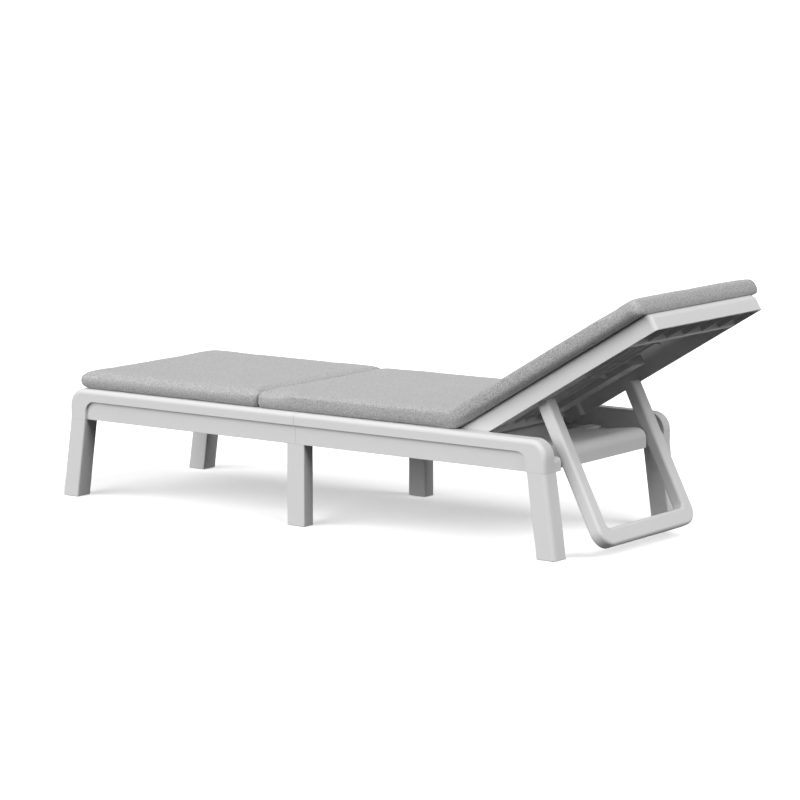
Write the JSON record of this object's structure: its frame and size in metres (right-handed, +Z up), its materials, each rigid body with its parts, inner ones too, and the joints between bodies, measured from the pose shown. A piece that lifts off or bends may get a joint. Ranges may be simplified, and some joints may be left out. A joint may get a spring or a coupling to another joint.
{
  "type": "sun lounger",
  "caption": "Garden lounger with a splayed-leg moulded frame, slotted decks, a hinged backrest held by a swinging U prop, and loose fabric pads.",
  "frame": {"origin": "centre of the bounding box at the floor, backrest raised", "axes": "+X from the foot end to the head end, +Y to the right of a person lying on it, +Z up"},
  "size_m": [1.9444, 0.62, 0.6876],
  "materials": {
    "frame_plastic": "fine satin moulded polypropylene",
    "rack_plastic": "satin moulded polypropylene",
    "bush_plastic": "smooth moulded acetal",
    "pin_steel": "turned stainless steel",
    "screw_steel": "stainless steel",
    "glide_rubber": "matte moulded rubber",
    "pad_fabric": "woven melange outdoor fabric"
  },
  "bodies": {
    "frame": {"side_rail_left_foot": "frame_plastic", "side_rail_left_head": "frame_plastic", "side_rail_right_foot": "frame_plastic", "side_rail_right_head": "frame_plastic", "leg_foot_left": "frame_plastic", "leg_foot_right": "frame_plastic", "leg_mid_left": "frame_plastic", "leg_mid_right": "frame_plastic", "leg_head_left": "frame_plastic", "leg_head_right": "frame_plastic", "leg_glides": "glide_rubber", "foot_crossbar": "frame_plastic", "mid_crossbar": "frame_plastic", "rear_crossbar": "frame_plastic", "rear_strip": "frame_plastic", "slot_floor": "frame_plastic", "foot_deck": "frame_plastic", "seat_deck": "frame_plastic", "hinge_pins": "pin_steel", "prop_pins": "pin_steel", "foot_leg_screws": "screw_steel", "mid_leg_screws": "screw_steel", "head_leg_screws": "screw_steel", "crossbar_screws": "screw_steel", "foot_deck_screws": "screw_steel", "seat_deck_screws": "screw_steel", "foot_pad": "pad_fabric", "seat_pad": "pad_fabric"},
    "backrest": {"backrest_panel": "frame_plastic", "hinge_bushes": "bush_plastic", "rack_left": "rack_plastic", "rack_right": "rack_plastic", "rack_screws": "screw_steel", "back_pad": "pad_fabric"},
    "prop": {"prop_frame": "frame_plastic", "prop_bushes": "bush_plastic"}
  },
  "joints": [
    {"name": "backrest_hinge", "type": "hinge", "parent": "frame", "child": "backrest", "pos_m": [0.3793, 0, 0.2805], "axis": [0, 1, 0], "range_deg": [0, 31]},
    {"name": "prop_hinge", "type": "hinge", "parent": "frame", "child": "prop", "pos_m": [0.6628, 0, 0.245], "axis": [0, 1, 0], "range_deg": [-65.2, 0]}
  ],
  "couplings": [
    {"joint": "prop_hinge", "follows": "backrest_hinge", "ratio": -2.1}
  ]
}
